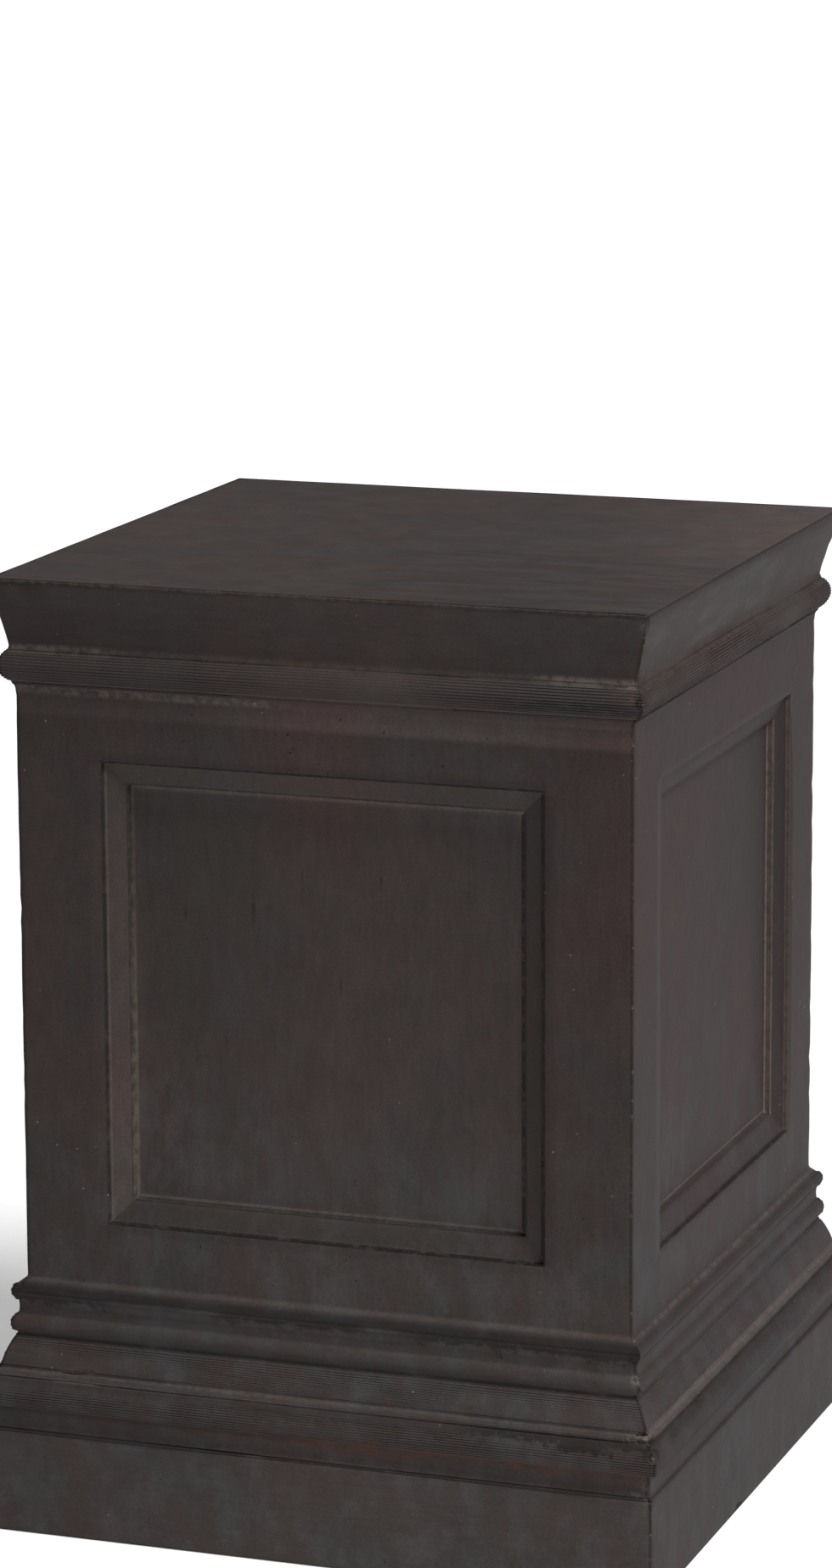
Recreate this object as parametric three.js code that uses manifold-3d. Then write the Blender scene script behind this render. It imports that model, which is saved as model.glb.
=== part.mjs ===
// A square garden plinth: a moulded base, a plain die with one sunk panel on each face, and a moulded cap.
// Millimetres, +Z up, the origin at the middle of the underside. It is cast in one piece.
import * as THREE from "three";
import { mergeVertices } from "three/addons/utils/BufferGeometryUtils.js";
import Module from "manifold-3d";

const wasm = await Module();
wasm.setup();
const { degToRad } = THREE.MathUtils;

// Driving dimensions. A half width runs from the middle of the plinth to a face.
const HEIGHT = 870;
const DIE_HALF = 284.5;
const EDGE_ROUND = 1.5;
const CURVE_STEPS = 14;
const ARC_STEPS = 14;
const EDGE_STEPS = 3;
const SAME_POINT = 0.01;

// The base, from the floor up: plain block, fillet, torus, thin lip, sloping ogee, lower bead, neck, upper bead.
const BLOCK = { half: 311.5, topHalf: 310.8, top: 96.5 };
const FILLET = { half: 307.8, top: 117.2 };
const TORUS = { half: 306, z: 128.6, out: 10, up: 17.2, from: -36, to: 76 };
const LIP = { half: 309.4, under: 146.4, nose: 148.6, top: 150.6, creaseHalf: 303.8, crease: 152.8 };
const OGEE = { bend: [301.9, 162, 298.6, 170.5], top: 180.4, topHalf: 292.6 };
const LOWER_BEAD = { half: 287.9, z: 191.2, out: 7.9, up: 9.6, from: -52, to: 64 };
const NECK = { half: 290.6, bottom: 203.6, top: 209.2 };
const UPPER_BEAD = { half: 289.6, z: 220.2, out: 5.1, up: 7.2, from: -66, to: 48 };
const DIE_FOOT = 233.4;

// The cap, from the top down: edge, shallow ogee, neck, half-round bead, small cove onto the die.
const CAP = { half: 301.2, edgeDepth: 5, topRound: 2 };
const CAP_OGEE = { upper: [300.4, 25], lower: [291, 44], foot: 61.6, footHalf: 288.5 };
const CAP_BEAD = { half: 279.7, drop: 78.4, out: 17, up: 17, from: -66, to: 58 };
const CAP_COVE = { half: 288, drop: 95, foot: 105 };

// The sunk panel: a small step, a sloping border, a second step and a flat field.
const PANEL = { half: 203, bottom: 290, top: 708, step: 3.5, border: 20.5, slope: 7.5, fieldStep: 6 };
const CUT_CLEARANCE = 30;

const paint = new THREE.MeshStandardMaterial({ color: 0x443e3c, roughness: 0.78, metalness: 0 });

/** Adds part of an ellipse to an outline, by angle: 0 points outward and 90 up. */
function addBead(outline, { half, z, out, up, from, to }) {
  outline.absellipse(half, z, out, up, degToRad(from), degToRad(to), false, 0);
}

/** Half of the plinth's section, from the middle of its underside round to the middle of its top. */
function sectionOutline() {
  const fromTop = (drop) => HEIGHT - drop;
  const base = new THREE.Path();
  base.moveTo(0, 0);
  base.lineTo(BLOCK.half - EDGE_ROUND, 0);
  base.lineTo(BLOCK.half, EDGE_ROUND);
  base.lineTo(BLOCK.topHalf, BLOCK.top - EDGE_ROUND);
  base.lineTo(BLOCK.topHalf - EDGE_ROUND, BLOCK.top);
  base.lineTo(FILLET.half, BLOCK.top);
  base.lineTo(FILLET.half, FILLET.top);
  addBead(base, TORUS);
  base.lineTo(LIP.half - EDGE_ROUND, LIP.under);
  base.quadraticCurveTo(LIP.half, LIP.under, LIP.half, LIP.nose);
  base.quadraticCurveTo(LIP.half, LIP.top, LIP.half - EDGE_ROUND, LIP.top);
  base.lineTo(LIP.creaseHalf, LIP.crease);
  base.bezierCurveTo(...OGEE.bend, OGEE.topHalf, OGEE.top);
  addBead(base, LOWER_BEAD);
  base.lineTo(NECK.half, NECK.bottom);
  base.lineTo(NECK.half, NECK.top);
  addBead(base, UPPER_BEAD);
  base.lineTo(DIE_HALF, DIE_FOOT);

  const cap = new THREE.Path();
  const [upperHalf, upperDrop] = CAP_OGEE.upper;
  const [lowerHalf, lowerDrop] = CAP_OGEE.lower;
  const edge = [CAP.half, fromTop(CAP.edgeDepth)];
  cap.moveTo(DIE_HALF, fromTop(CAP_COVE.foot));
  cap.quadraticCurveTo(DIE_HALF, fromTop(CAP_COVE.drop), CAP_COVE.half, fromTop(CAP_COVE.drop));
  addBead(cap, { ...CAP_BEAD, z: fromTop(CAP_BEAD.drop) });
  cap.lineTo(CAP_OGEE.footHalf, fromTop(CAP_OGEE.foot));
  cap.bezierCurveTo(lowerHalf, fromTop(lowerDrop), upperHalf, fromTop(upperDrop), ...edge);
  cap.lineTo(CAP.half, fromTop(CAP.topRound));
  cap.quadraticCurveTo(CAP.half, HEIGHT, CAP.half - CAP.topRound, HEIGHT);
  cap.lineTo(0, HEIGHT);
  return [...outlinePoints(base), ...outlinePoints(cap)];
}

/** The points of an outline: few on a small rounded edge, more on an ogee or a bead. */
function outlinePoints(path) {
  const steps = { QuadraticBezierCurve: EDGE_STEPS, CubicBezierCurve: CURVE_STEPS, EllipseCurve: ARC_STEPS };
  const points = path.curves.flatMap((curve) => curve.getPoints(steps[curve.type] ?? 1));
  return points.filter((point, i) => i === 0 || point.distanceTo(points[i - 1]) > SAME_POINT);
}

/** Turns a section into a solid square in plan: four turns of 90 degrees, with a mitre at each corner. */
function squareTurned(section) {
  const toCorner = section.map((point) => new THREE.Vector2(point.x * Math.SQRT2, point.y));
  return new THREE.LatheGeometry(toCorner, 4, Math.PI / 4).rotateX(Math.PI / 2);
}

/** What is cut from one face for its panel: the field, and round it the border that widens outwards. */
function panelCutters() {
  const fieldHalf = PANEL.half - PANEL.border;
  const fieldHeight = PANEL.top - PANEL.bottom - 2 * PANEL.border;
  const middle = (PANEL.top + PANEL.bottom) / 2;
  const field = new THREE.Shape([
    new THREE.Vector2(-fieldHalf, -fieldHeight / 2),
    new THREE.Vector2(fieldHalf, -fieldHeight / 2),
    new THREE.Vector2(fieldHalf, fieldHeight / 2),
    new THREE.Vector2(-fieldHalf, fieldHeight / 2),
  ]);
  const border = new THREE.ExtrudeGeometry(field, {
    depth: PANEL.step + CUT_CLEARANCE,
    bevelEnabled: true,
    bevelSegments: 1,
    bevelThickness: PANEL.slope,
    bevelSize: PANEL.border,
  });
  border.rotateX(Math.PI / 2).translate(0, -(DIE_HALF - PANEL.step), middle);
  const depth = PANEL.slope + PANEL.fieldStep;
  const sunk = new THREE.BoxGeometry(2 * fieldHalf, depth, fieldHeight);
  sunk.translate(0, -(DIE_HALF - PANEL.step - depth / 2), middle);
  return [border, sunk];
}

/** A closed solid from a geometry, with its shared points joined and the slivers at the poles left out. */
function toSolid(geometry) {
  const bare = geometry.clone();
  bare.deleteAttribute("normal");
  bare.deleteAttribute("uv");
  const welded = mergeVertices(bare, SAME_POINT);
  const triangles = [];
  for (let i = 0; i < welded.index.count; i += 3) {
    const [a, b, c] = [0, 1, 2].map((corner) => welded.index.getX(i + corner));
    if (a !== b && b !== c && c !== a) triangles.push(a, b, c);
  }
  return new wasm.Manifold(
    new wasm.Mesh({
      numProp: 3,
      vertProperties: new Float32Array(welded.attributes.position.array),
      triVerts: new Uint32Array(triangles),
    }),
  );
}

/** The geometry of a finished solid. */
function toGeometry(solid) {
  const mesh = solid.getMesh();
  const geometry = new THREE.BufferGeometry();
  geometry.setAttribute("position", new THREE.BufferAttribute(mesh.vertProperties, 3));
  geometry.setIndex(new THREE.BufferAttribute(mesh.triVerts, 1));
  geometry.computeVertexNormals();
  return geometry;
}

/** The whole plinth, with the same panel cut into each of its four faces. */
function makePlinth() {
  let solid = toSolid(squareTurned(sectionOutline()));
  for (let face = 0; face < 4; face += 1) {
    for (const cutter of panelCutters()) {
      solid = solid.subtract(toSolid(cutter.rotateZ((face * Math.PI) / 2)));
    }
  }
  const plinth = new THREE.Mesh(toGeometry(solid), paint);
  plinth.name = "plinth";
  return plinth;
}

const group = new THREE.Group();
group.add(makePlinth());
export default group;
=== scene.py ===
import math

import bmesh
import bpy
from mathutils import Matrix, Vector, noise


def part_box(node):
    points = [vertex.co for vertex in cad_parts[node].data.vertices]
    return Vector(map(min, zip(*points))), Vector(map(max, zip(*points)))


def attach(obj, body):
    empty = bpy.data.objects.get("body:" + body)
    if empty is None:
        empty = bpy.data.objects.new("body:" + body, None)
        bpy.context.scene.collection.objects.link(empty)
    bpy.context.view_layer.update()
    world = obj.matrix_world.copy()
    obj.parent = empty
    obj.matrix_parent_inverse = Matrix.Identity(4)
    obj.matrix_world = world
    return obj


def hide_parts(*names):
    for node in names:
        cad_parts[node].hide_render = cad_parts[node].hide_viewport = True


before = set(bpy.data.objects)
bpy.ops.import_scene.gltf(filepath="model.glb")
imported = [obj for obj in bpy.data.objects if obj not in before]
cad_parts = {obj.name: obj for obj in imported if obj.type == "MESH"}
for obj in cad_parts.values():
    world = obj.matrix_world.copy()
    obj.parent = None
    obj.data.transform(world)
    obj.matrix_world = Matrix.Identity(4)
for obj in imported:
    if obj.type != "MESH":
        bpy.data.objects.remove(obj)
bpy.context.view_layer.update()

MM = 0.001
LOW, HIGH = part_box("plinth")
HEIGHT = HIGH.z

# Heights on the plinth and distances from its middle, as its solid has them, in metres.
DIE_FOOT = 233.4 * MM
DIE_TOP = HEIGHT - 105 * MM
BLOCK_TOP = 96.5 * MM
PANEL_HALF = 203 * MM
PANEL_BOTTOM = 290 * MM
PANEL_TOP = 708 * MM
PANEL_MIDDLE = (PANEL_BOTTOM + PANEL_TOP) / 2
BORDER = 20.5 * MM

# Distances from the middle where the cuts across a face get closer, and where they end.
NEAR_FROM = 250 * MM
CORNER_FROM = 284 * MM
CUTS_END = 317 * MM

# How far corners and panel edges are softened.
CORNER_SOFT = 1.4 * MM
PANEL_SOFT = 0.8 * MM

# How far apart the cuts are that make the long faces finer.
DIE_CUTS = 12 * MM
BLOCK_CUTS = 8 * MM
NEAR_CUTS = 2.6 * MM
CORNER_CUTS = 6 * MM
MIDDLE_CUTS = 16 * MM
END_CUTS = 30 * MM

# Places where a corner or an edge is broken: its middle, its reach each way and its depth, in mm.
BREAKS = (
    ((306, -309, 149), (15, 10, 5), 5.0),
    ((312, -311, 137), (4, 6, 6), 3.2),
    ((304, -309, 106), (10, 6, 9), 2.6),
    ((309, -310, 98), (5, 5, 5), 2.0),
    ((292, -293, 198), (6, 5, 7), 2.4),
    ((293, -293, 184), (5, 5, 4), 2.0),
    ((291, -292, 213), (4, 4, 4), 1.8),
    ((-232, -309, 150), (20, 8, 4), 2.6),
    ((299, -300, 861), (6, 6, 8), 1.9),
    ((277, -301, 869), (16, 4, 4), 1.3),
    ((292, -296, 793), (8, 6, 6), 1.8),
    ((311, -39, 2), (8, 6, 5), 2.6),
    ((-309, 301, 149), (10, 12, 5), 3.4),
    ((303, 302, 866), (7, 7, 7), 1.8),
    ((-301, -300, 866), (7, 7, 6), 1.4),
    ((-296, 295, 792), (7, 7, 6), 1.6),
)


# The cast body: the solid's faces, cut finer, worn and made uneven.

def merged_faces():
    """The solid's faces with their shared points joined and flat triangles put together."""
    body = bmesh.new()
    body.from_mesh(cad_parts["plinth"].data)
    bmesh.ops.remove_doubles(body, verts=body.verts, dist=0.01 * MM)
    flat = math.radians(0.3)
    bmesh.ops.dissolve_limit(body, angle_limit=flat, verts=body.verts, edges=body.edges)
    return body


def from_mitre(point):
    """How far a point lies from the nearest of the four corner planes."""
    return abs(abs(point.x) - abs(point.y)) / math.sqrt(2)


def is_mitre(edge):
    """True for an edge that runs up one of the four corners."""
    a, b = (v.co for v in edge.verts)
    return max(from_mitre(a), from_mitre(b)) < 0.02 * MM and min(abs(a.x), abs(b.x)) > NEAR_FROM


def soften(body, edges, width, segments):
    """Rounds edges, over a width to each side."""
    bmesh.ops.bevel(
        body,
        geom=edges,
        offset=width,
        offset_type="OFFSET",
        affect="EDGES",
        segments=segments,
        profile=0.5,
        material=-1,
    )


def soften_corners(body):
    """Rounds the four upright corners, along every moulding."""
    soften(body, [e for e in body.edges if is_mitre(e)], CORNER_SOFT, 2)


def is_panel_edge(edge):
    """True for a sharp edge of a sunk panel."""
    if len(edge.link_faces) != 2 or edge.calc_face_angle(0) < math.radians(15):
        return False
    a, b = (v.co for v in edge.verts)
    inside = all(PANEL_BOTTOM - MM < p.z < PANEL_TOP + MM for p in (a, b))
    return inside and all(min(abs(p.x), abs(p.y)) < PANEL_HALF + MM for p in (a, b))


def soften_panels(body):
    """Takes the sharpness off the edges of the sunk panels."""
    soften(body, [e for e in body.edges if is_panel_edge(e)], PANEL_SOFT, 1)


def slice_up(body, faces, axis, places):
    """Cuts faces by planes across one axis, from the lowest up, and goes on with what is above."""
    normal = Vector((0, 0, 0))
    normal[axis] = 1
    for place in sorted(places):
        faces = [f for f in faces if max(v.co[axis] for v in f.verts) > place + 0.01 * MM]
        edges = {e for f in faces for e in f.edges}
        verts = {v for f in faces for v in f.verts}
        done = bmesh.ops.bisect_plane(
            body,
            geom=[*faces, *edges, *verts],
            dist=0.005 * MM,
            plane_co=normal * place,
            plane_no=normal,
        )
        faces = [g for g in done["geom"] if isinstance(g, bmesh.types.BMFace)]


def spread(start, stop, step):
    """Even places between start and stop, without the two ends."""
    count = max(1, round((stop - start) / step))
    return [start + (stop - start) * i / count for i in range(1, count)]


def column_places(fine):
    """Where the cuts across a face go: wide apart in the middle and closer near its corners."""
    near = [CORNER_FROM, *spread(CORNER_FROM, CUTS_END, fine)]
    inner = [NEAR_FROM, *spread(NEAR_FROM, CORNER_FROM, CORNER_CUTS)]
    return near + inner, spread(-NEAR_FROM, NEAR_FROM, MIDDLE_CUTS)


def is_end(face):
    """True for the faces of the flat top and of the underside."""
    height = face.calc_center_median().z
    return abs(face.normal.z) > 0.99 and not MM < height < HEIGHT - MM


def cut_finer(body):
    """Cuts the long plain faces into small ones, so that they can be worn and made uneven."""
    tall = [f for f in body.faces if abs(f.normal.z) < 0.999]
    levels = spread(DIE_FOOT, DIE_TOP, DIE_CUTS) + spread(0, BLOCK_TOP, BLOCK_CUTS)
    slice_up(body, tall, 2, levels)
    upright = [f for f in body.faces if not is_end(f)]
    facing_y = [f for f in upright if abs(f.normal.y) > abs(f.normal.x)]
    facing_x = [f for f in upright if abs(f.normal.y) <= abs(f.normal.x)]
    seen, middle = column_places(NEAR_CUTS)
    other, _ = column_places(CORNER_CUTS)
    slice_up(body, facing_y, 0, [-p for p in other] + middle + seen)
    slice_up(body, facing_x, 1, [-p for p in seen] + middle + other)
    for axis in (0, 1):
        ends = [f for f in body.faces if is_end(f)]
        slice_up(body, ends, axis, spread(-0.3, 0.3, END_CUTS))


def unevenness(point):
    """How far a hand-cast surface lies behind the true one, in metres."""
    broad = noise.noise(point * 5)
    middle = noise.noise(point * 17 + Vector((3, 1, 4)))
    return (0.55 + 0.35 * broad + 0.25 * middle) * MM


def worn_back(point):
    """How far a corner is worn back, in metres. The wear ends 5 mm from the corner."""
    near = max(0.0, 1 - from_mitre(point) / (5 * MM))
    if near == 0:
        return 0.0
    rub = max(0.0, noise.noise(point * 60 + Vector((7, 7, 7))) - 0.05)
    return near * near * rub * 3 * MM


def broken_back(point):
    """How far the breaks take a point in, in metres. Each ends in a ragged edge at its reach."""
    depth = 0.0
    for middle, reach, deepest in BREAKS:
        away = [(point[i] / MM - middle[i]) / reach[i] for i in range(3)]
        distance = math.hypot(*away)
        if distance < 1.4:
            ragged = distance + 0.45 * noise.noise(point * 320)
            depth = max(depth, deepest * MM * min(1.0, max(0.0, 1.25 - ragged) * 1.6))
    return depth


def make_uneven(body):
    """Moves every point in by the unevenness, wear and breaks, and keeps it in the solid's box."""
    body.normal_update()
    for vert in body.verts:
        p = vert.co.copy()
        if p.z < MM:
            continue
        depth = unevenness(p) + worn_back(p)
        if p.z > HEIGHT - 0.5 * MM and vert.normal.z > 0.9:
            depth *= 0.4
        inward = Vector((p.x, p.y, 0)).normalized()
        vert.co -= vert.normal * depth + inward * broken_back(p)
        vert.co.x = min(max(vert.co.x, LOW.x), HIGH.x)
        vert.co.y = min(max(vert.co.y, LOW.y), HIGH.y)
        vert.co.z = min(vert.co.z, HIGH.z)


def make_plinth():
    """The piece that is seen in place of the solid."""
    body = merged_faces()
    soften_corners(body)
    soften_panels(body)
    cut_finer(body)
    make_uneven(body)
    bmesh.ops.recalc_face_normals(body, faces=body.faces)
    mesh = bpy.data.meshes.new("cast_plinth")
    body.to_mesh(mesh)
    body.free()
    for polygon in mesh.polygons:
        polygon.use_smooth = True
    mesh.set_sharp_from_angle(angle=math.radians(38))
    plinth = bpy.data.objects.new("cast_plinth", mesh)
    bpy.context.scene.collection.objects.link(plinth)
    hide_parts("plinth")
    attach(plinth, "root")
    return plinth


# The paint. Its patterns are placed by where a point lies on the plinth.
# Colours are linear red, green and blue. MAUVE is a tone that the right face's colours are
# multiplied by, a painted tint of the light on that side.

WARM = (0.0420, 0.0305, 0.0285)
COOL = (0.0345, 0.0310, 0.0305)
RED = (0.0490, 0.0290, 0.0270)
OLIVE = (0.0330, 0.0285, 0.0235)
BLOOM = (0.0560, 0.0570, 0.0565)
# A dark colour for dirt, and also for painted shade and painted shadow along the sunk panels'
# edges.
GRIME_AND_SHADE = (0.0085, 0.0073, 0.0063)
BRICK = (0.0800, 0.0290, 0.0200)
BEIGE = (0.1350, 0.1140, 0.0900)
# A pale colour for chalk and worn paint, and also for a painted highlight along the upper bead's
# top on the right face.
CHALK_AND_HIGHLIGHT = (0.2600, 0.2250, 0.1900)
MAUVE = (1.0000, 0.9200, 0.9700)

TO_MM = (1000, 1000, 1000)
PAINT_ROUGHNESS = 0.66
PAINT_GLOSS = 0.15

# How high the grain stands, in metres.
FINE_RELIEF = 0.08 * MM
COARSE_RELIEF = 0.26 * MM

# Inside this share of its reach a spot is at its full strength.
SPOT_CORE = 0.35

# Heights that the marks follow, in mm from the ground.
CAP_EDGE = 867.9
CAP_OGEE_FOOT = 812
CAP_NECK = 807
CAP_BEAD_TOP = 803
CAP_BEAD_FOOT = 776
COVE_EDGE = 769.8
UPPER_BEAD_FOOT = 210
UPPER_BEAD_NOSE = 221
UPPER_BEAD_TOP = 230.8
OGEE_TOP = 181
LIP_TOP = 151.6
LIP_UNDER = 147
FILLET_TOP = 116.4
BLOCK_EDGE = 95.5


class Paint:
    """One paint: its colour, roughness and relief, built up coat by coat from nodes."""

    # Which of a mix node's sockets serve a plain number, and which a colour.
    NUMBERS = {"data_type": "FLOAT", "a": 2, "b": 3, "result": 0}
    COLOURS = {"data_type": "VECTOR", "a": 4, "b": 5, "result": 1}

    def __init__(self, name, colour, roughness):
        self.material = bpy.data.materials.new(name)
        self.material.use_nodes = True
        self.tree = self.material.node_tree
        self.shader = self.tree.nodes["Principled BSDF"]
        self.place = self.add("ShaderNodeTexCoord").outputs["Object"]
        parts = self.add("ShaderNodeSeparateXYZ", self.place)
        self.x, self.y, self.z = parts.outputs
        in_mm = self.add("ShaderNodeVectorMath", self.place, TO_MM, operation="MULTIPLY")
        self.place_in_mm = in_mm.outputs[0]
        self.colour = colour
        self.roughness = roughness
        self.relief = 0.0
        self.coats = {}
        self.shades = []

    def put(self, socket, value):
        """Joins a socket to another one, or sets it to a plain value."""
        if isinstance(value, bpy.types.NodeSocket):
            self.tree.links.new(value, socket)
        else:
            socket.default_value = value

    def add(self, kind, *values, **settings):
        """Adds a node with its settings, and fills its sockets in order."""
        made = self.tree.nodes.new(kind)
        for name, value in settings.items():
            setattr(made, name, value)
        for socket, value in zip(made.inputs, values):
            self.put(socket, value)
        return made

    def sum_up(self, operation, *values):
        """The result of one step of arithmetic."""
        return self.add("ShaderNodeMath", *values, operation=operation).outputs[0]

    def times(self, *values):
        """All the values multiplied together."""
        product = values[0]
        for value in values[1:]:
            product = self.sum_up("MULTIPLY", product, value)
        return product

    def plus(self, a, b):
        return self.sum_up("ADD", a, b)

    def less(self, a, b):
        return self.sum_up("SUBTRACT", a, b)

    def size_of(self, value):
        """A value without its sign."""
        return self.sum_up("ABSOLUTE", value)

    def all_but(self, mask):
        """The opposite of a mask."""
        return self.less(1.0, mask)

    def ramp(self, value, start, stop, low=0.0, high=1.0):
        """Goes smoothly from low, at start, to high, at stop."""
        made = self.add("ShaderNodeMapRange", value, start, stop, low, high)
        made.interpolation_type = "SMOOTHSTEP"
        made.clamp = False
        return made.outputs[0]

    def band(self, value, low, high, soft):
        """1 between low and high, and 0 from the distance soft beyond them."""
        return self.times(self.ramp(value, low - soft, low), self.ramp(value, high + soft, high))

    def noise(self, scale, detail=2, seed=0, rough=0.5):
        """Noise with so many lumps to the metre each way."""
        moved = self.add("ShaderNodeMapping", self.place)
        self.put(moved.inputs["Location"], (seed * 3.1, seed * 5.7, seed * 1.9))
        self.put(moved.inputs["Scale"], scale)
        made = self.add("ShaderNodeTexNoise")
        self.put(made.inputs["Vector"], moved.outputs[0])
        self.put(made.inputs["Scale"], 1.0)
        self.put(made.inputs["Detail"], detail)
        self.put(made.inputs["Roughness"], rough)
        return made.outputs["Fac"]

    def spot(self, face, middle, reach, ragged=None):
        """1 at a place on the front or right face, and 0 beyond its reach. Places are in mm."""
        along, up = (1 / r for r in reach)
        scale = (along, 0, up) if face == "front" else (0, along, up)
        centre = middle[0] / reach[0], middle[1] / reach[1]
        centre = (centre[0], 0, centre[1]) if face == "front" else (0, centre[0], centre[1])
        scaled = self.add("ShaderNodeVectorMath", self.place_in_mm, scale, operation="MULTIPLY")
        away = self.add("ShaderNodeVectorMath", scaled.outputs[0], centre, operation="DISTANCE")
        distance = away.outputs["Value"]
        if ragged is not None:
            distance = self.plus(distance, ragged)
        here = self.front if face == "front" else self.right
        return self.times(self.ramp(distance, 1, SPOT_CORE), here)

    def coat(self, mask, colour, strength=1.0):
        """Keeps a coat of one colour, where the mask says, until lay() puts it on."""
        self.coats.setdefault(colour, []).append(self.times(mask, strength))

    def shade(self, factor):
        """Keeps a factor that makes the colour lighter or darker, until lay() uses it."""
        self.shades.append(factor)

    def merge(self, operation, values):
        """Puts values together two by two."""
        while len(values) > 1:
            pairs = zip(values[::2], values[1::2])
            left_over = values[len(values) // 2 * 2 :]
            values = [self.sum_up(operation, a, b) for a, b in pairs] + left_over
        return values[0]

    def mix(self, kind, amount, a, b):
        """The first value where the amount is 0, the second where it is 1, and a blend between."""
        mixed = self.add("ShaderNodeMix", amount, data_type=kind["data_type"])
        self.put(mixed.inputs[kind["a"]], a)
        self.put(mixed.inputs[kind["b"]], b)
        return mixed.outputs[kind["result"]]

    def blend(self, amount, a, b):
        """A blend of two numbers."""
        return self.mix(self.NUMBERS, amount, a, b)

    def lay(self):
        """Puts on the kept coats, one colour after another, and then the kept shades."""
        for colour, masks in self.coats.items():
            mask = self.merge("MAXIMUM", masks)
            self.colour = self.mix(self.COLOURS, mask, self.colour, colour)
        if self.shades:
            made = self.add("ShaderNodeVectorMath", self.colour, operation="SCALE")
            self.put(made.inputs["Scale"], self.merge("MULTIPLY", self.shades))
            self.colour = made.outputs[0]
        self.coats, self.shades = {}, []

    def tint(self, mask, tone):
        """Multiplies the colour by a tone where the mask says."""
        toned = self.add("ShaderNodeVectorMath", self.colour, tone, operation="MULTIPLY")
        self.colour = self.mix(self.COLOURS, mask, self.colour, toned.outputs[0])

    def raise_up(self, amount):
        """Adds to the relief, in metres."""
        self.relief = self.plus(self.relief, amount)

    def finish(self):
        """Joins the colour, roughness and relief to the shader."""
        bump = self.add("ShaderNodeBump")
        self.put(bump.inputs["Strength"], 1.0)
        self.put(bump.inputs["Distance"], 1.0)
        self.put(bump.inputs["Height"], self.relief)
        self.put(self.shader.inputs["Base Color"], self.colour)
        self.put(self.shader.inputs["Roughness"], self.roughness)
        self.put(self.shader.inputs["Normal"], bump.outputs["Normal"])
        return self.material


def find_faces(p):
    """Which face a point is on, and where: along it, from its mitres and from its panel's edge."""
    wide = p.size_of(p.x)
    deep = p.size_of(p.y)
    p.top = p.ramp(p.z, HEIGHT - 1.2 * MM, HEIGHT - 0.6 * MM)
    upright = p.all_but(p.top)
    p.front = p.times(p.sum_up("GREATER_THAN", p.times(p.y, -1.0), wide), upright)
    p.right = p.times(p.sum_up("GREATER_THAN", p.x, deep), upright)
    p.on_x_face = p.sum_up("GREATER_THAN", wide, deep)
    p.along = p.blend(p.on_x_face, p.x, p.y)
    p.mitre = p.size_of(p.times(p.less(wide, deep), math.sqrt(0.5)))
    across = p.less(p.size_of(p.along), PANEL_HALF)
    up = p.less(p.size_of(p.less(p.z, PANEL_MIDDLE)), (PANEL_TOP - PANEL_BOTTOM) / 2)
    p.beyond_panel = p.sum_up("MAXIMUM", across, up)
    p.level = p.sum_up("GREATER_THAN", up, across)
    p.die = p.band(p.z, DIE_FOOT, DIE_TOP, 2 * MM)
    p.field = p.times(p.die, p.ramp(p.beyond_panel, -BORDER + MM, -BORDER - MM))


# In the marks below, heights and places are in mm in line(), between() and hang(), and in metres
# in a plain ramp. A ramp over noise, which mostly lies between 0.3 and 0.7, leaves a coat patchy.

def line(p, value, place, half, soft=0.4):
    """A line where the value passes a place. The half width and the soft edge are in mm."""
    return p.band(value, (place - half) * MM, (place + half) * MM, soft * MM)


def between(p, value, low, high, soft=10):
    """1 where the value lies between two places in mm."""
    return p.band(value, low * MM, high * MM, soft * MM)


def hang(p, upper, reach):
    """Dirt that hangs from a level edge and ends in a ragged line below it. Distances are in mm."""
    drop = p.plus(p.z, p.times(p.less(p.broken, 0.5), 2 * reach * MM))
    drop = p.plus(drop, p.times(p.less(p.patchy, 0.5), 2 * reach * MM))
    low = p.ramp(drop, (upper - reach) * MM, (upper - reach * 0.5) * MM)
    return p.times(low, p.ramp(p.z, (upper + 0.8) * MM, (upper - 0.4) * MM))


def lighten(p, mask, factor):
    """Makes the colour so many times as light where the mask says, or darker with less than 1."""
    p.shade(p.blend(mask, 1.0, factor))


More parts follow.
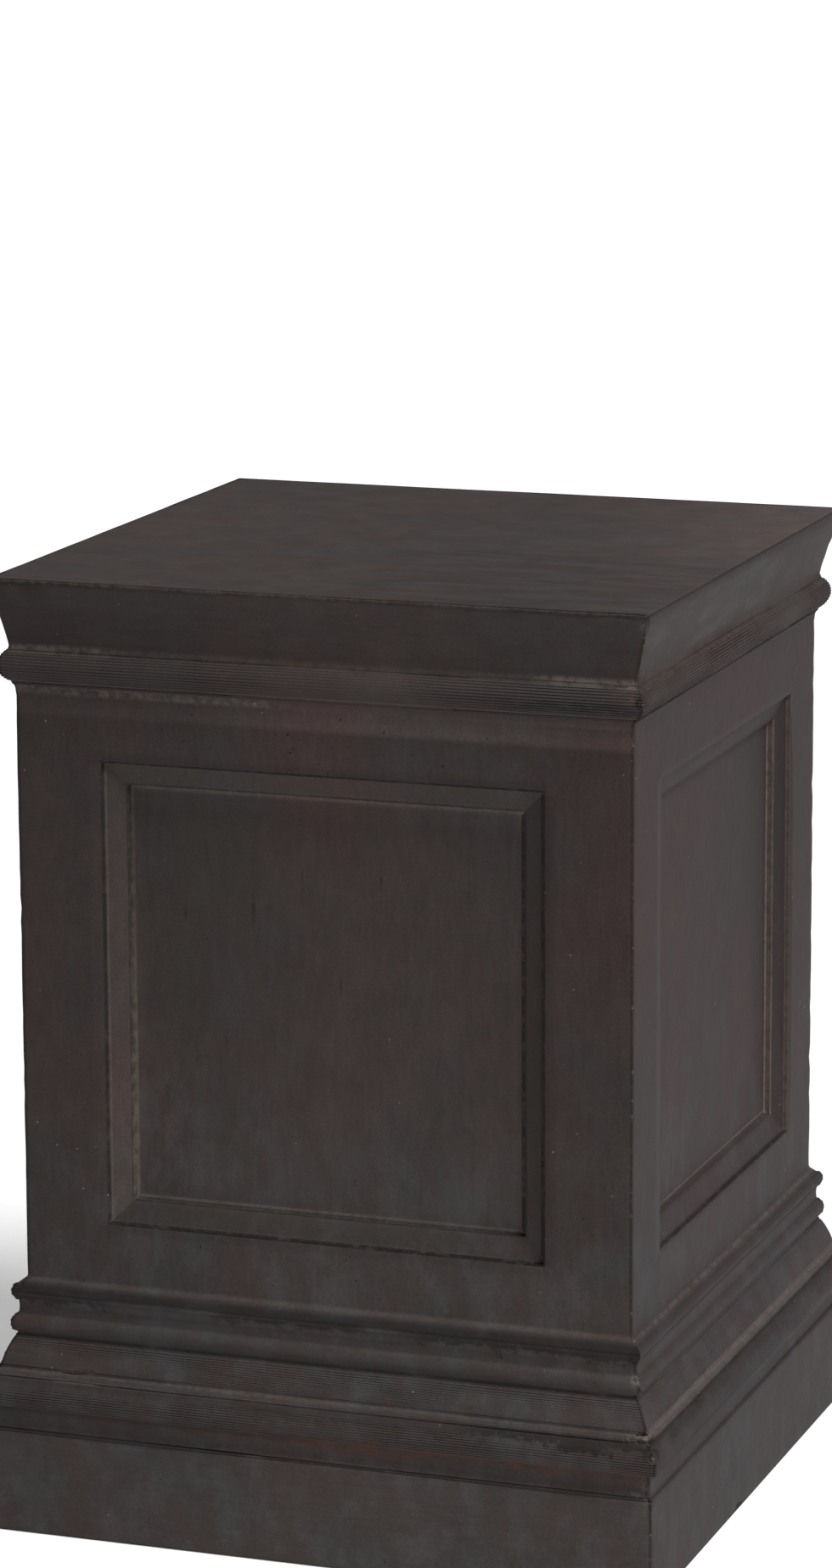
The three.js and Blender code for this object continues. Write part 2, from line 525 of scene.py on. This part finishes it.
def mottle_and_painted_light(p):
    """Warm and cool patches, brushed upright on the die and level on the mouldings, with painted
    bounce light low down and painted shade on the right face.
    """
    patches = p.noise((6, 6, 5), detail=3, seed=1, rough=0.6)
    small = p.noise((34, 34, 21), detail=4, seed=2, rough=0.65)
    level = p.noise((26, 26, 210), detail=2, seed=3, rough=0.6)
    brushed = p.blend(p.die, level, p.noise((200, 200, 34), detail=2, seed=3, rough=0.6))
    p.broken = p.noise((120, 120, 120), detail=3, seed=12, rough=0.6)
    p.patchy = p.noise((24, 24, 30), detail=3, seed=13, rough=0.6)

    # Broad patches: cool ones, most of all low down, olive ones, and red ones high up.
    low = p.ramp(p.z, 0.46, 0.24)
    cool = p.plus(p.times(p.ramp(patches, 0.42, 0.60), 0.8), p.times(low, 0.55))
    p.coat(p.times(cool, p.ramp(small, 0.26, 0.56)), COOL, 0.9)
    p.coat(p.ramp(p.patchy, 0.50, 0.72), OLIVE, 0.5)
    high = p.band(p.z, 0.40, 0.80, 0.06)
    reddish = p.ramp(p.noise((6, 6, 4), detail=2, seed=7), 0.44, 0.62)
    p.coat(p.times(high, reddish), RED, 0.6)
    p.coat(p.times(low, p.ramp(small, 0.42, 0.66)), BLOOM, 0.22)

    # Brush streaks and small patches, lighter and darker, and painted bounce light from the floor:
    # lighter towards the foot and darker high up.
    p.shade(p.ramp(brushed, 0.28, 0.72, 0.94, 1.065))
    p.shade(p.ramp(small, 0.28, 0.72, 0.92, 1.09))
    p.shade(p.ramp(p.z, 0.72, 0.05, 0.90, 1.16))

    # The front is darker to the left and on its right border, and the right face is all darker:
    # painted shade for how the light falls on that side.
    left_end = p.ramp(p.z, 0.10, 0.24, 0.80, 0.73)
    lighten(p, p.front, p.ramp(p.x, -0.32, 0.05, left_end, 1.0))
    stile = p.times(p.ramp(p.x, 0.19, 0.22), p.ramp(p.z, 0.25, 0.33), p.die, p.front)
    lighten(p, stile, 0.86)
    lighten(p, p.right, p.ramp(p.z, 0.13, 0.16, 0.58, 0.64))


def mark_cap(p):
    """Old dirt and chalk on the cap: along its top edge, in its neck and round its bead, and
    painted light under the bead.
    """
    worn = p.ramp(p.broken, 0.32, 0.66)

    # The ogee, darker to the left, and the dirt and chalk of its top edge.
    ogee = p.times(between(p, p.z, CAP_OGEE_FOOT, 866, 4), p.front)
    lighten(p, ogee, p.ramp(p.x, -0.3, 0.2, 0.84, 0.94))
    rim = p.times(p.ramp(p.y, -295 * MM, -298.5 * MM), p.top)
    p.coat(p.times(rim, p.ramp(p.broken, 0.66, 0.40)), GRIME_AND_SHADE, 0.40)
    p.coat(p.times(line(p, p.z, CAP_EDGE, 1.1, 1.0), worn, p.front), CHALK_AND_HIGHLIGHT, 0.13)
    upper = between(p, p.z, 850, 862, 8)
    p.coat(p.times(upper, p.ramp(p.patchy, 0.40, 0.62), p.front), COOL, 0.5)

    # Chalk in the neck: most on the right, some on the left and a little between.
    left = p.times(between(p, p.x, -300, -205, 30), 1.1)
    right = p.times(between(p, p.x, 225, 296, 40), 1.7)
    middle = p.times(between(p, p.x, -150, 200, 60), 0.35)
    dusty = p.plus(p.plus(left, right), middle)
    dusty = p.times(dusty, p.front, p.ramp(p.broken, 0.28, 0.62))
    p.coat(p.times(line(p, p.z, CAP_NECK, 1.8, 4.2), dusty), CHALK_AND_HIGHLIGHT, 0.15)
    p.coat(p.times(line(p, p.z, CAP_NECK - 3.5, 1.2, 2.6), p.right, worn), CHALK_AND_HIGHLIGHT, 0.07)

    # The bead, its dark underside near the right end, painted bounce light on its lower face on the
    # right, and a pale edge below it on the front, painted light that lifts the shadow in the cove.
    p.coat(p.times(between(p, p.z, CAP_BEAD_FOOT, CAP_BEAD_TOP, 4), p.front), COOL, 0.35)
    bead = p.times(between(p, p.z, CAP_BEAD_FOOT, CAP_BEAD_TOP - 1, 5), p.front)
    lighten(p, bead, p.ramp(p.x, -0.1, 0.25, 1.16, 1.32))
    beneath = between(p, p.z, CAP_BEAD_FOOT + 0.5, CAP_BEAD_FOOT + 5.5, 3)
    lighten(p, p.times(beneath, p.right), 1.65)
    under = between(p, p.z, CAP_BEAD_FOOT + 7, CAP_BEAD_FOOT + 13, 3.5)
    under = p.times(under, p.ramp(p.x, 0.13, 0.20), p.front)
    p.coat(p.times(under, p.ramp(p.broken, 0.30, 0.56)), GRIME_AND_SHADE, 0.72)
    lighten(p, p.times(line(p, p.z, CAP_BEAD_FOOT + 0.8, 1.4, 1.0), p.front), 1.45)

    # Chalk on the cove's lower edge, on the left, and the strip of the die beneath painted lighter:
    # painted light that takes out the shadow under the cap.
    foot = between(p, p.x, -290, -70, 60)
    p.coat(p.times(line(p, p.z, COVE_EDGE, 1.4, 4.0), foot, p.front, worn), CHALK_AND_HIGHLIGHT, 0.13)
    p.coat(p.times(line(p, p.z, COVE_EDGE + 2, 0.8, 1.4), foot, p.front, worn), CHALK_AND_HIGHLIGHT, 0.13)
    strip = p.times(between(p, p.z, 752, 767, 7), p.front)
    lighten(p, strip, p.ramp(p.x, -0.15, 0.1, 1.35, 1.75))


def mark_base(p):
    """Grime in the hollows of the base, pale wear on what stands out, bare brick-red paint, and
    painted shade, light and highlights on the upper bead, under the lip and on the right face.
    """
    worn = p.ramp(p.broken, 0.30, 0.66)

    # The upper bead: an upper half painted darker, as painted shade on its lit top, a pale top edge
    # that is worn paint and a painted highlight, a lighter foot, and ragged dirt.
    shoulder = p.times(p.ramp(p.z, 231 * MM, 227.5 * MM), p.ramp(p.z, 218 * MM, 222 * MM))
    lighten(p, p.times(shoulder, p.front), 0.62)
    nose = between(p, p.z, UPPER_BEAD_NOSE, UPPER_BEAD_NOSE + 4.5, 2.5)
    lighten(p, p.times(nose, p.front), 0.72)
    p.coat(p.times(line(p, p.z, UPPER_BEAD_TOP, 0.9, 1.8), worn, p.front), BEIGE, 0.07)
    foot = between(p, p.z, UPPER_BEAD_FOOT, UPPER_BEAD_FOOT + 9, 3)
    lighten(p, p.times(foot, p.front), 1.22)
    near = p.plus(between(p, p.x, -296, -215, 25), between(p, p.x, -85, 25, 30))
    near = p.plus(near, between(p, p.x, 110, 294, 60))
    p.coat(p.times(hang(p, UPPER_BEAD_NOSE, 11), near, p.front), GRIME_AND_SHADE, 0.62)
    below = between(p, p.z, UPPER_BEAD_FOOT, UPPER_BEAD_FOOT + 6, 3)
    p.coat(p.times(below, p.ramp(p.patchy, 0.36, 0.62), p.on_x_face), GRIME_AND_SHADE, 0.25)
    dark = between(p, p.z, UPPER_BEAD_NOSE + 0.5, UPPER_BEAD_NOSE + 4.5, 2)
    p.coat(p.times(dark, p.right), GRIME_AND_SHADE, 0.26)

    # The groove between the lower bead and the ogee.
    settled = p.ramp(p.patchy, 0.25, 0.5)
    p.coat(p.times(line(p, p.z, OGEE_TOP, 0.5, 2.4), settled), GRIME_AND_SHADE, 0.6)

    # The lip: worn pale on top, the shadow under it painted lighter as painted light, and grime
    # under it that hangs down the torus to the right.
    rubbed = p.times(worn, p.front, p.ramp(p.x, -0.1, 0.2, 1.0, 0.45))
    p.coat(p.times(line(p, p.z, LIP_TOP, 0.7, 1.4), rubbed), BEIGE, 0.17)
    shadow = p.times(line(p, p.z, LIP_UNDER - 0.4, 1.6, 0.8), p.front)
    lighten(p, shadow, p.ramp(p.x, -0.1, 0.2, 2.6, 1.9))
    deep = p.times(p.ramp(p.z, 134 * MM, 144 * MM), p.ramp(p.z, 147.4 * MM, 146.6 * MM))
    p.coat(p.times(deep, p.front), GRIME_AND_SHADE, 0.48)
    more = p.blend(p.ramp(p.x, 0.08, 0.18), 0.25, 0.8)
    p.coat(p.times(hang(p, LIP_UNDER, 13), more, p.front), GRIME_AND_SHADE, 0.9)
    p.coat(p.times(hang(p, LIP_UNDER, 12), p.on_x_face), GRIME_AND_SHADE, 0.35)

    # The fillet: a dark groove on top, bare brick-red paint, and chalk on the right face.
    groove = p.times(line(p, p.z, FILLET_TOP, 1.6, 5.0), p.ramp(p.patchy, 0.26, 0.48))
    p.coat(p.times(groove, p.ramp(p.x, 0.05, -0.05, 0.35, 1.0), p.front), GRIME_AND_SHADE, 0.50)
    bare = p.plus(between(p, p.x, 40, 300, 130), p.times(between(p, p.x, -200, 60, 60), 0.35))
    bare = p.times(bare, p.front, p.ramp(p.noise((60, 60, 150), 3, 14), 0.34, 0.62))
    p.coat(p.times(between(p, p.z, 110, 119, 5), bare), BRICK, 0.45)
    p.coat(p.times(line(p, p.z, FILLET_TOP - 1.8, 0.8, 2.0), p.right, worn), BEIGE, 0.20)
    p.coat(p.times(between(p, p.z, BLOCK_EDGE + 2.5, BLOCK_EDGE + 7.5, 3), p.front), GRIME_AND_SHADE, 0.16)

    # The dark line where the fillet stands on the block.
    ledge = p.times(line(p, p.z, BLOCK_EDGE, 0.9, 0.8), p.ramp(p.patchy, 0.26, 0.44))
    p.coat(p.times(ledge, p.all_but(p.right)), GRIME_AND_SHADE, 0.55)
    lighten(p, p.times(line(p, p.z, BLOCK_EDGE + 2.3, 0.9, 0.5), p.front), 1.3)

    # The right face: chalk on the lip, a painted highlight on the upper bead, and the ogee between
    # them painted lighter, which takes back part of the right face's painted shade.
    chalky = p.plus(p.times(worn, 0.4), 0.6)
    p.coat(p.times(line(p, p.z, LIP_TOP + 1.2, 1.2, 2.4), chalky, p.right), CHALK_AND_HIGHLIGHT, 0.15)
    p.coat(p.times(line(p, p.z, UPPER_BEAD_TOP - 0.4, 0.6, 1.6), worn, p.right), CHALK_AND_HIGHLIGHT, 0.10)
    lighten(p, p.times(between(p, p.z, LIP_TOP + 0.4, OGEE_TOP + 1, 4), p.right), 1.12)


def mark_panels(p):
    """Dirt and worn paint along the edges of the sunk panels, with painted shade, shadow, light and
    highlights.
    """
    # Distance from the field's edge, and the four parts of a panel's border.
    inner = p.plus(p.beyond_panel, BORDER)
    beside = p.all_but(p.level)
    left = p.times(p.sum_up("LESS_THAN", p.along, 0.0), beside)
    right = p.times(p.sum_up("GREATER_THAN", p.along, 0.0), beside)
    below = p.times(p.sum_up("LESS_THAN", p.z, PANEL_MIDDLE), p.level)
    above = p.times(p.sum_up("GREATER_THAN", p.z, PANEL_MIDDLE), p.level)
    clean = p.all_but(p.times(right, p.right))
    worn = p.times(p.ramp(p.broken, 0.22, 0.70, 0.35, 1.0), p.die)
    dirt_and_shade = p.times(p.ramp(p.broken, 0.72, 0.44, 0.2, 1.0), p.die, clean)

    # The die is a little darker close round the panel.
    around = p.times(p.ramp(p.beyond_panel, 14 * MM, 3 * MM), p.ramp(p.beyond_panel, 0, MM))
    around = p.times(around, p.die, p.front)
    for side, factor in ((above, 0.84), (below, 0.80), (left, 0.88)):
        lighten(p, p.times(around, side), factor)

    # The outer edge: a dark line all round, worn paint beside it on the left, a painted shadow just
    # inside it on the front's right side, and a painted highlight beside it on the right face.
    on_edge = line(p, p.beyond_panel, 0.6, 1.0, 0.6)
    p.coat(p.times(on_edge, dirt_and_shade, p.blend(left, 1.0, 0.75)), GRIME_AND_SHADE, 0.92)
    p.coat(p.times(line(p, p.beyond_panel, -1.4, 0.8, 0.8), left, worn), BEIGE, 0.16)
    sunk = line(p, p.beyond_panel, -2.0, 0.9, 0.7)
    p.coat(p.times(sunk, right, p.front, dirt_and_shade), GRIME_AND_SHADE, 0.90)
    p.coat(p.times(line(p, p.beyond_panel, 0.2, 1.0, 0.8), right, worn, p.right), BEIGE, 0.24)

    # The inner edge: a dark line of painted shade where it faces away from the light, a painted
    # shadow just inside its right side on the front, a dark line along its foot, painted light and
    # a painted highlight on its far side on the right face, and worn paint elsewhere.
    p.coat(p.times(line(p, inner, 1.0, 0.9, 0.6), dirt_and_shade, p.all_but(below)), GRIME_AND_SHADE, 0.75)
    p.coat(p.times(line(p, inner, -3.0, 1.1, 0.7), right, p.front, dirt_and_shade), GRIME_AND_SHADE, 0.92)
    p.coat(p.times(line(p, inner, 0.1, 0.6, 0.5), below, dirt_and_shade, p.front), GRIME_AND_SHADE, 0.50)
    lower = p.ramp(p.z, 0.62, 0.42, 0.45, 1.0)
    p.coat(p.times(line(p, inner, -0.8, 1.2, 1.0), left, lower, worn, p.front), BEIGE, 0.42)
    lighten(p, p.times(line(p, inner, 0.1, 1.0, 0.4), right, p.right), 1.9)
    p.coat(p.times(line(p, inner, 0.5, 1.7, 0.8), right, worn, p.right), BEIGE, 0.24)
    p.coat(p.times(line(p, inner, -2.7, 0.8, 0.9), below, worn), BEIGE, 0.36)
    p.coat(p.times(line(p, inner, -2.4, 1.0, 0.9), above, p.front, worn), BEIGE, 0.16)

    # The sloping border, painted lighter or darker on each side as painted light and shade, and
    # olive but for its left side.
    slope = p.times(p.ramp(inner, 0, 1.5 * MM), p.ramp(p.beyond_panel, 0, -1.5 * MM), p.die)
    for side, face, factor in (
        (left, p.front, 1.32),
        (above, p.front, 1.30),
        (below, p.front, 0.90),
        (right, p.front, 0.90),
        (right, p.right, 0.80),
    ):
        lighten(p, p.times(slope, side, face), factor)
    rest = p.times(p.all_but(left), p.front)
    p.coat(p.times(slope, rest, p.ramp(p.patchy, 0.38, 0.60)), OLIVE, 0.5)

    # The field of the front panel is painted lighter along its top and its right side: painted
    # light that takes out the shadow of the sunk edge there.
    front_field = p.times(p.field, p.front)
    lighten(p, p.times(front_field, p.ramp(p.z, 660 * MM, 686 * MM)), 1.45)
    lighten(p, p.times(front_field, p.ramp(p.x, 164 * MM, 181 * MM)), 1.42)


# Cool pale bloom on the panels: its face, middle, reach and strength. Places are in mm.
BLOOMS = (
    ("front", (-150, 380), (70, 95), 0.36),
    ("front", (-60, 355), (130, 60), 0.26),
    ("front", (90, 335), (100, 45), 0.26),
    ("front", (158, 352), (34, 55), 0.42),
    ("front", (165, 560), (28, 120), 0.16),
    ("front", (120, 680), (75, 12), 0.24),
    ("front", (-165, 640), (16, 60), 0.12),
    ("right", (-110, 345), (75, 70), 0.22),
    ("right", (20, 420), (60, 60), 0.06),
)

# Dark stains on the front panel: their middle, reach and strength.
STAINS = (
    ((-105, 620), (62, 60), 0.55),
    ((-140, 520), (34, 90), 0.40),
)

# Fine scratches and pits on the front: their middle and reach.
SCRATCHES = (
    ((-112, 628), (1.6, 13)),
    ((-68, 622), (1.5, 20)),
    ((-69, 585), (2.2, 22)),
    ((-133, 575), (2.0, 8)),
    ((-23, 607), (1.2, 22)),
    ((50, 614), (1.2, 18)),
    ((57, 579), (2.2, 2.2)),
    ((-96, 456), (1.3, 10)),
    ((12, 520), (1.0, 14)),
    ((242, 747), (2.2, 1.8)),
)

# Chalk and grime where the near corner is broken, and on the mouldings beside it.
CORNER_MARKS = (
    ("front", (298, 151), (17, 4), BEIGE, 0.45),
    ("front", (304, 148), (9, 4), CHALK_AND_HIGHLIGHT, 0.40),
    ("front", (309, 142), (5, 4), GRIME_AND_SHADE, 0.95),
    ("front", (312, 135), (3, 4), CHALK_AND_HIGHLIGHT, 0.45),
    ("front", (302, 106), (9, 8), BEIGE, 0.30),
    ("front", (306, 107), (4, 5), GRIME_AND_SHADE, 0.60),
    ("front", (296, 99), (7, 3), BEIGE, 0.30),
    ("front", (291, 197), (6, 7), CHALK_AND_HIGHLIGHT, 0.28),
    ("front", (292, 184), (4, 4), CHALK_AND_HIGHLIGHT, 0.25),
    ("front", (289, 214), (8, 6), GRIME_AND_SHADE, 0.80),
    ("front", (-232, 154), (22, 3), CHALK_AND_HIGHLIGHT, 0.08),
    ("front", (-219, 156), (9, 1.2), GRIME_AND_SHADE, 0.80),
    ("front", (-254, 155), (3, 2), CHALK_AND_HIGHLIGHT, 0.30),
    ("front", (291, 793), (7, 5), GRIME_AND_SHADE, 0.70),
    ("front", (297, 861), (4, 8), BEIGE, 0.22),
    ("right", (-305, 150), (9, 4), BEIGE, 0.30),
    ("right", (-262, 138), (18, 7), GRIME_AND_SHADE, 0.60),
    ("right", (-175, 144), (26, 6), GRIME_AND_SHADE, 0.60),
    ("right", (-60, 146), (30, 5), GRIME_AND_SHADE, 0.40),
    ("right", (-287, 88), (1.6, 1.2), CHALK_AND_HIGHLIGHT, 0.80),
    ("right", (-300, 105), (8, 7), BEIGE, 0.12),
)


def bloom_panels(p):
    """Cool pale bloom low on the panels, and the dark run stains high on the front one."""
    streaks = p.ramp(p.noise((90, 90, 34), detail=4, seed=15, rough=0.7), 0.34, 0.64)
    ragged = p.times(p.less(p.patchy, 0.5), 1.6)
    for face, middle, reach, strength in BLOOMS:
        spot = p.spot(face, middle, reach, ragged)
        p.coat(p.times(spot, streaks, p.field), BLOOM, strength)
    for middle, reach, strength in STAINS:
        spot = p.spot("front", middle, reach, ragged)
        p.coat(p.times(spot, p.ramp(streaks, 0.9, 0.2), p.field), GRIME_AND_SHADE, strength * 0.4)
        p.coat(p.times(spot, p.field), OLIVE, strength)
    for middle, reach in SCRATCHES:
        scratch = p.times(p.spot("front", middle, reach), p.ramp(p.broken, 0.34, 0.62))
        p.coat(scratch, GRIME_AND_SHADE, 0.75)


def mark_corners(p):
    """The near upright corners: a thin dark line with pale nicks, and chalk on their breaks."""
    sharp = p.ramp(p.mitre, 2.6 * MM, 1.4 * MM)
    nicks = p.noise((90, 90, 200), detail=3, seed=17, rough=0.7)
    below_top = p.ramp(p.z, HEIGHT - MM, HEIGHT - 3 * MM)
    p.coat(p.times(sharp, p.ramp(nicks, 0.72, 0.50), p.front, below_top), GRIME_AND_SHADE, 0.60)
    tip = p.ramp(p.mitre, 1.2 * MM, 0.5 * MM)
    p.coat(p.times(tip, p.ramp(nicks, 0.60, 0.68), below_top), CHALK_AND_HIGHLIGHT, 0.25)
    crumbs = p.ramp(p.noise((300, 300, 300), detail=2, seed=18), 0.36, 0.60)
    ragged = p.times(p.less(p.broken, 0.5), 2.2)
    for face, middle, reach, colour, strength in CORNER_MARKS:
        p.coat(p.times(p.spot(face, middle, reach, ragged), crumbs), colour, strength)


def mark_right(p):
    """What only the right face shows: pale wipes on the cap, and darker bands beside them."""
    wipes = p.ramp(p.noise((12, 12, 46), detail=3, seed=19, rough=0.5), 0.40, 0.66)
    ogee = p.times(between(p, p.z, 818, 858, 8), p.right)
    p.coat(p.times(ogee, p.plus(wipes, 0.3)), BLOOM, p.ramp(p.y, -0.1, 0.2, 0.42, 0.18))
    edge = between(p, p.z, 861, 869, 4)
    p.coat(p.times(edge, p.ramp(p.patchy, 0.20, 0.58), p.right), GRIME_AND_SHADE, 0.30)
    neck = between(p, p.z, 792, 811, 6)
    p.coat(p.times(neck, p.ramp(p.patchy, 0.36, 0.60), p.right), OLIVE, 0.75)
    chalky = p.times(line(p, p.z, 112, 1.5, 4), between(p, p.y, 30, 300, 60), p.right)
    p.coat(p.times(chalky, p.ramp(p.broken, 0.40, 0.62)), BEIGE, 0.28)


def mark_top(p):
    """Soft grey strokes left by a brush on the flat top, strongest near the corner in front, and a
    painted sheen towards the right and the back.
    """
    strokes = p.ramp(p.noise((9, 60, 9), detail=4, seed=20, rough=0.6), 0.38, 0.64)
    near = p.times(between(p, p.x, 60, 270, 90), between(p, p.y, -270, -60, 90))
    p.coat(p.times(p.top, strokes, p.plus(p.times(near, 0.7), 0.2)), COOL, 0.9)
    p.coat(p.times(p.top, near, p.ramp(strokes, 0.7, 0.1)), GRIME_AND_SHADE, 0.22)
    # Painted sheen: the top is painted lighter towards its right edge and towards its far right
    # corner.
    lighten(p, p.top, p.ramp(p.x, 0.18, 0.31, 1.0, 1.22))
    far = p.times(p.ramp(p.x, 0.05, 0.26), p.ramp(p.y, -0.20, 0.15))
    lighten(p, p.times(p.top, far), 1.34)
    lighten(p, p.times(p.top, p.ramp(p.noise((26, 26, 26), 3, 21), 0.35, 0.65)), 0.90)


def grain(p):
    """Fine grain, pits and pale specks."""
    fine = p.noise((560, 560, 560), detail=2, seed=8)
    p.shade(p.ramp(fine, 0.30, 0.70, 0.91, 1.10))
    dots = p.noise((330, 330, 330), detail=0, seed=9)
    rare = p.noise((16, 16, 16), detail=0, seed=10)
    p.coat(p.times(p.ramp(dots, 0.87, 0.90), p.ramp(rare, 0.52, 0.62)), CHALK_AND_HIGHLIGHT, 0.6)
    p.coat(p.times(p.ramp(dots, 0.17, 0.14), p.ramp(rare, 0.54, 0.44)), GRIME_AND_SHADE, 0.8)
    coarse = p.noise((110, 110, 110), detail=2, seed=11)
    p.raise_up(p.times(fine, FINE_RELIEF))
    p.raise_up(p.times(coarse, COARSE_RELIEF))


def make_paint():
    """The plinth's paint, mark by mark, each over the ones before it."""
    p = Paint("dark_paint", WARM, PAINT_ROUGHNESS)
    p.put(p.shader.inputs["Specular IOR Level"], PAINT_GLOSS)
    find_faces(p)
    for step in (
        mottle_and_painted_light,
        mark_cap,
        mark_base,
        mark_panels,
        bloom_panels,
        mark_corners,
        mark_right,
        mark_top,
        grain,
    ):
        step(p)
        p.lay()
    # The right face is tinted mauve: a painted tint of the light that falls on that side.
    p.tint(p.right, MAUVE)
    return p.finish()


# The studio: a pale floor, a soft light from the right, a bright surround, and the camera.

# The camera: its place in metres, its turn, tilt and roll in degrees, and its lens in mm.
CAMERA_PLACE = (1.63555, -4.6184, 1.6766)
CAMERA_TURN = 19.642
CAMERA_TILT = -11.882
CAMERA_ROLL = -0.306
LENS = 125.93
SENSOR_WIDTH = 36

# The lamp: its direction and softness in degrees, and its strength.
LAMP = {"round_from_front": 66, "up": 54, "softness": 25, "strength": 4.3}

FLOOR_REACH = 40
FLOOR_GREY = 0.62
FLOOR_GLOW = 0.34

# The surround: which way it is brightest, and how its strength rises from one side to the other.
BRIGHTEST = (0.6, 0.7, 0.25)
SURROUND = {"From Min": -0.5, "From Max": 0.8, "To Min": 0.10, "To Max": 0.34}


def turned(degrees, axis, size=4):
    """A turn about one axis."""
    return Matrix.Rotation(math.radians(degrees), size, axis)


def make_camera():
    """The camera at the photo's place, level with the horizon but for a slight roll."""
    data = bpy.data.cameras.new("camera")
    data.sensor_width = SENSOR_WIDTH
    data.lens = LENS
    camera = bpy.data.objects.new("camera", data)
    aim = turned(CAMERA_TURN, "Z") @ turned(90 + CAMERA_TILT, "X") @ turned(CAMERA_ROLL, "Z")
    camera.matrix_world = Matrix.Translation(CAMERA_PLACE) @ aim
    bpy.context.scene.collection.objects.link(camera)
    bpy.context.scene.camera = camera


def soft_light(name, round_from_front, up, softness, strength):
    """A far, broad lamp. Its direction goes round from the front towards the right, and up."""
    data = bpy.data.lights.new(name, "SUN")
    data.angle = math.radians(softness)
    data.energy = strength
    light = bpy.data.objects.new(name, data)
    toward = Vector((0, -1, 0))
    toward.rotate(turned(-up, "X", 3))
    toward.rotate(turned(round_from_front, "Z", 3))
    light.rotation_euler = toward.to_track_quat("Z", "Y").to_euler()
    bpy.context.scene.collection.objects.link(light)


def make_floor():
    """A wide plain floor, with a little glow so that it stays pale."""
    body = bmesh.new()
    bmesh.ops.create_grid(body, x_segments=2, y_segments=2, size=FLOOR_REACH)
    mesh = bpy.data.meshes.new("floor")
    body.to_mesh(mesh)
    body.free()
    floor = bpy.data.objects.new("floor", mesh)
    material = bpy.data.materials.new("pale_floor")
    material.use_nodes = True
    shader = material.node_tree.nodes["Principled BSDF"]
    for name, value in (
        ("Base Color", (FLOOR_GREY, FLOOR_GREY, FLOOR_GREY, 1)),
        ("Emission Color", (1, 1, 1, 1)),
        ("Emission Strength", FLOOR_GLOW),
        ("Roughness", 0.9),
        ("Specular IOR Level", 0.1),
    ):
        shader.inputs[name].default_value = value
    mesh.materials.append(material)
    bpy.context.scene.collection.objects.link(floor)


def make_world():
    """A pale surround, brighter behind and to the right. The camera sees it plain white."""
    world = bpy.data.worlds.new("studio")
    world.use_nodes = True
    tree = world.node_tree
    background = tree.nodes["Background"]
    way = tree.nodes.new("ShaderNodeTexCoord").outputs["Generated"]
    toward = tree.nodes.new("ShaderNodeVectorMath")
    toward.operation = "DOT_PRODUCT"
    toward.inputs[1].default_value = Vector(BRIGHTEST).normalized()
    tree.links.new(way, toward.inputs[0])
    level = tree.nodes.new("ShaderNodeMapRange")
    for name, value in SURROUND.items():
        level.inputs[name].default_value = value
    tree.links.new(toward.outputs["Value"], level.inputs["Value"])
    seen = tree.nodes.new("ShaderNodeLightPath").outputs["Is Camera Ray"]
    chosen = tree.nodes.new("ShaderNodeMix")
    tree.links.new(seen, chosen.inputs[0])
    tree.links.new(level.outputs["Result"], chosen.inputs[2])
    chosen.inputs[3].default_value = 1.0
    tree.links.new(chosen.outputs[0], background.inputs["Strength"])
    background.inputs["Color"].default_value = (1, 1, 1, 1)
    bpy.context.scene.world = world
    bpy.context.scene.view_settings.view_transform = "Standard"


make_camera()
make_world()
make_floor()
soft_light("key", **LAMP)
plinth = make_plinth()
plinth.data.materials.append(make_paint())
